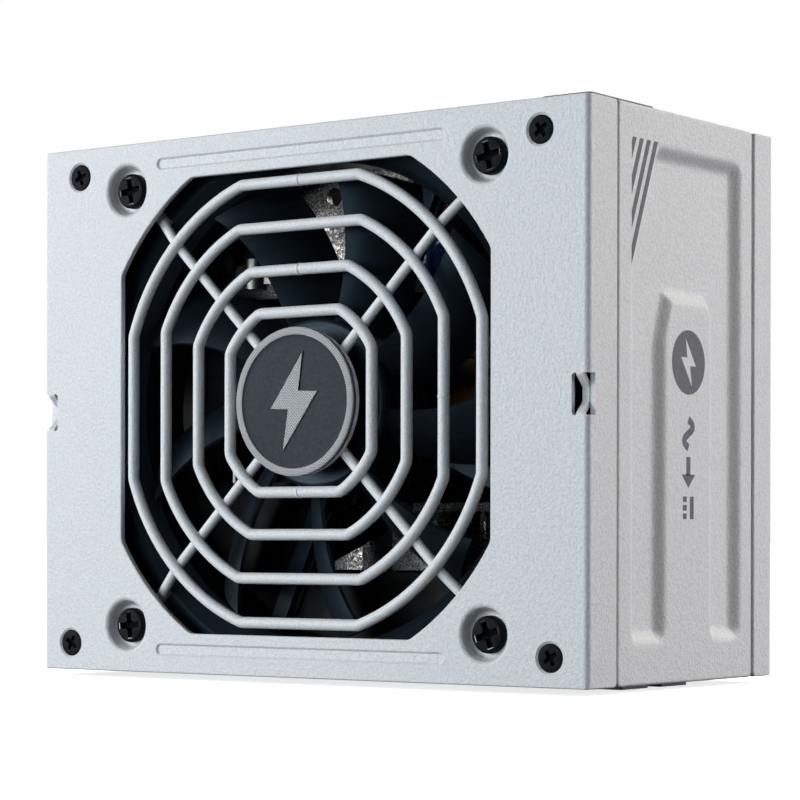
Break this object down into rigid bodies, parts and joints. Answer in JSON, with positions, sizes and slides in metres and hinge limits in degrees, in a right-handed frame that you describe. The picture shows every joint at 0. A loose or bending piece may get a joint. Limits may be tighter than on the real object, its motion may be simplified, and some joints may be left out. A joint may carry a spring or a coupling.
{
  "type": "power supply unit",
  "caption": "Small-form-factor modular power supply: white steel case, fan behind a wire guard, mains inlet, rocker switch and modular sockets.",
  "frame": {"origin": "middle of the underside of the modular sockets, centred in width and depth", "axes": "+X right across the fan side, +Y from the fan side to the base, +Z from the socket side up to the mains side"},
  "size_m": [0.125, 0.0644, 0.1036],
  "materials": {
    "white_paint": "textured powder coat",
    "black_screw": "black oxide",
    "badge": "satin with a knurled rim",
    "fan_plastic": "satin moulded",
    "fan_steel": "bare",
    "magnet": "bonded ferrite",
    "brass": "turned",
    "copper": "enamelled wire",
    "circuit_board": "solder mask",
    "wire": "insulated wire",
    "white_nylon": "nylon",
    "black_plastic": "moulded",
    "tinned": "tin plated",
    "film": "insulating film",
    "capacitor_sleeve": "shrink sleeve",
    "ferrite": "sintered ferrite",
    "tape": "polyester tape",
    "heatsink": "galvanised look",
    "component_black": "moulded package",
    "capacitor_can": "polymer capacitor can",
    "film_capacitor": "boxed film capacitor",
    "disc_capacitor": "dipped ceramic"
  },
  "bodies": {
    "case": {"fan_cover": "white_paint", "base_tray": "white_paint", "mains_panel": "white_paint", "socket_panel": "white_paint", "side_panel_left": "white_paint", "side_panel_right": "white_paint", "fan_guard": "white_paint", "badge_plate": "white_paint", "cover_screws": "black_screw", "base_screws": "black_screw", "fan_screws": "black_screw", "fan_badge": "badge", "fan_frame": "fan_plastic", "stator_core": "fan_steel", "bearing_sleeve": "brass", "board_standoffs": "brass", "stator_windings": "copper", "choke_windings": "copper", "busbars": "copper", "fan_motor_board": "circuit_board", "main_board": "circuit_board", "socket_board": "circuit_board", "control_board": "circuit_board", "fan_lead": "wire", "mains_wires": "wire", "fan_plug": "white_nylon", "ac_inlet": "black_plastic", "switch_housing": "black_plastic", "socket_main_18": "black_plastic", "socket_main_10": "black_plastic", "socket_power_1": "black_plastic", "socket_power_2": "black_plastic", "socket_power_3": "black_plastic", "socket_power_4": "black_plastic", "socket_power_5": "black_plastic", "socket_drive": "black_plastic", "inlet_pins": "tinned", "switch_terminals": "tinned", "socket_pins": "tinned", "board_screws": "tinned", "heatsink_clip": "tinned", "insulating_sheet": "film", "air_baffle": "film", "bulk_capacitor": "capacitor_sleeve", "transformer_core": "ferrite", "choke_cores": "ferrite", "transformer_winding": "tape", "primary_heatsink": "heatsink", "secondary_heatsink": "heatsink", "power_transistors": "component_black", "bridge_rectifier": "component_black", "control_chips": "component_black", "output_capacitors": "capacitor_can", "x_capacitor": "film_capacitor", "y_capacitors": "disc_capacitor"},
    "rotor": {"fan_rotor": "fan_plastic", "rotor_yoke": "fan_steel", "rotor_magnet": "magnet", "rotor_shaft": "fan_steel"},
    "rocker": {"power_rocker": "black_plastic"}
  },
  "joints": [
    {"name": "fan_spin", "type": "hinge", "parent": "case", "child": "rotor", "pos_m": [0, -0.02135, 0.05125], "axis": [0, -1, 0], "continuous": true},
    {"name": "rocker_tilt", "type": "hinge", "parent": "case", "child": "rocker", "pos_m": [0.05085, -0.01005, 0.09845], "axis": [-1, 0, 0], "range_deg": [0, 16]}
  ]
}
